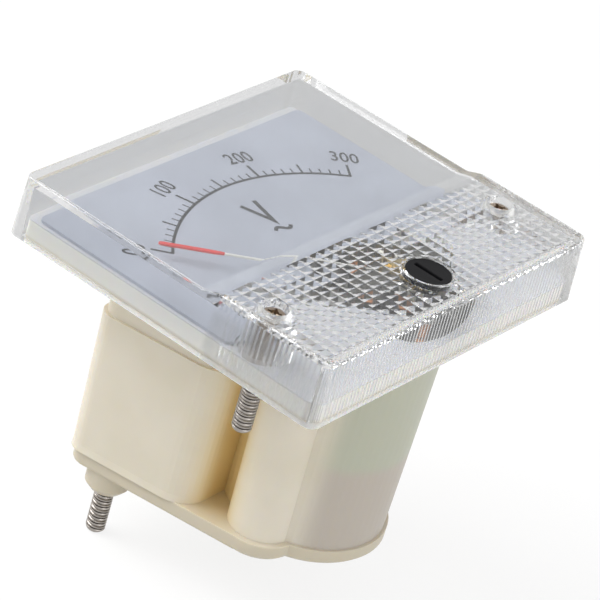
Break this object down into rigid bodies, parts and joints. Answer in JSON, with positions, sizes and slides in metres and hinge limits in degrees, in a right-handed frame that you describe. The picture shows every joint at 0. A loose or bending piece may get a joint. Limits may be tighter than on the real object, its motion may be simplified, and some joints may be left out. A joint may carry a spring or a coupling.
{
  "type": "analog panel meter",
  "caption": "Panel voltmeter with a clear cover, a red-tipped pointer over an arc scale, a moving-coil movement, two mounting studs and a rear housing with two threaded terminals.",
  "frame": {"origin": "midway between the two mounting studs, on the plane where the flange seats on the panel", "axes": "+Z out of the dial towards the reader, +Y up the dial, +X to the reader's right"},
  "size_m": [0.064, 0.0559, 0.0592],
  "materials": {
    "housing": "satin",
    "clear_cover": "polished clear plastic",
    "brown_steel": "browned",
    "dark_steel": "dark plated",
    "tinned_brass": "tinned",
    "black_plastic": "satin",
    "brass": "satin",
    "dial_paint": "matt",
    "bright_steel": "satin",
    "pointer_metal": "satin",
    "former_aluminium": "satin",
    "copper_wire": "enamelled copper wire",
    "spring_bronze": "polished",
    "magnet": "ground",
    "frame_metal": "passivated",
    "board": "laminate",
    "diode_body": "gloss",
    "resistor_body": "gloss",
    "lead_red": "satin",
    "lead_blue": "satin"
  },
  "bodies": {
    "meter": {"rear_housing": "housing", "front_cover": "clear_cover", "cover_screw_left": "brown_steel", "cover_screw_right": "brown_steel", "mounting_stud_left": "dark_steel", "mounting_stud_right": "dark_steel", "terminal_stud_left": "dark_steel", "terminal_stud_right": "dark_steel", "solder_tag_left": "tinned_brass", "solder_tag_right": "tinned_brass", "dial_plate": "dial_paint", "dial_screw_left": "bright_steel", "dial_screw_right": "bright_steel", "pointer_stop_left": "black_plastic", "pointer_stop_right": "black_plastic", "upper_hairspring": "spring_bronze", "lower_hairspring": "spring_bronze", "upper_jewel_screw": "brass", "lower_jewel_screw": "brass", "magnet_core": "magnet", "yoke_ring": "magnet", "movement_frame": "frame_metal", "upper_bridge": "frame_metal", "lower_bridge": "frame_metal", "bridge_screw_left": "bright_steel", "bridge_screw_right": "bright_steel", "circuit_board": "board", "board_screw_left": "bright_steel", "board_screw_right": "bright_steel", "rectifier_diodes": "diode_body", "series_resistor": "resistor_body", "link_wire_left": "tinned_brass", "link_wire_right": "tinned_brass", "coil_lead_upper": "lead_red", "coil_lead_lower": "lead_blue"},
    "moving_element": {"pointer": "pointer_metal", "balance_weights": "tinned_brass", "coil_former": "former_aluminium", "coil_winding": "copper_wire", "upper_pivot": "bright_steel", "lower_pivot": "bright_steel"},
    "zero_adjuster": {"zero_adjuster": "black_plastic"},
    "zero_fork": {"zero_fork": "brass"}
  },
  "joints": [
    {"name": "pointer_swing", "type": "hinge", "parent": "meter", "child": "moving_element", "pos_m": [0, -0.0018, 0], "axis": [0, 0, -1], "range_deg": [-2.5, 91.5], "stiffness_Nm_per_rad": 0.00002, "deforming": ["upper_hairspring", "lower_hairspring"]},
    {"name": "zero_adjuster_turn", "type": "hinge", "parent": "meter", "child": "zero_adjuster", "pos_m": [0, -0.0063, 0.011], "axis": [0, 0, 1], "range_deg": [-35, 35]},
    {"name": "zero_fork_swing", "type": "hinge", "parent": "meter", "child": "zero_fork", "pos_m": [0, -0.0018, 0.0077], "axis": [0, 0, 1], "range_deg": [-9.8, 9.8]}
  ],
  "couplings": [
    {"joint": "zero_fork_swing", "follows": "zero_adjuster_turn", "ratio": -0.262}
  ]
}
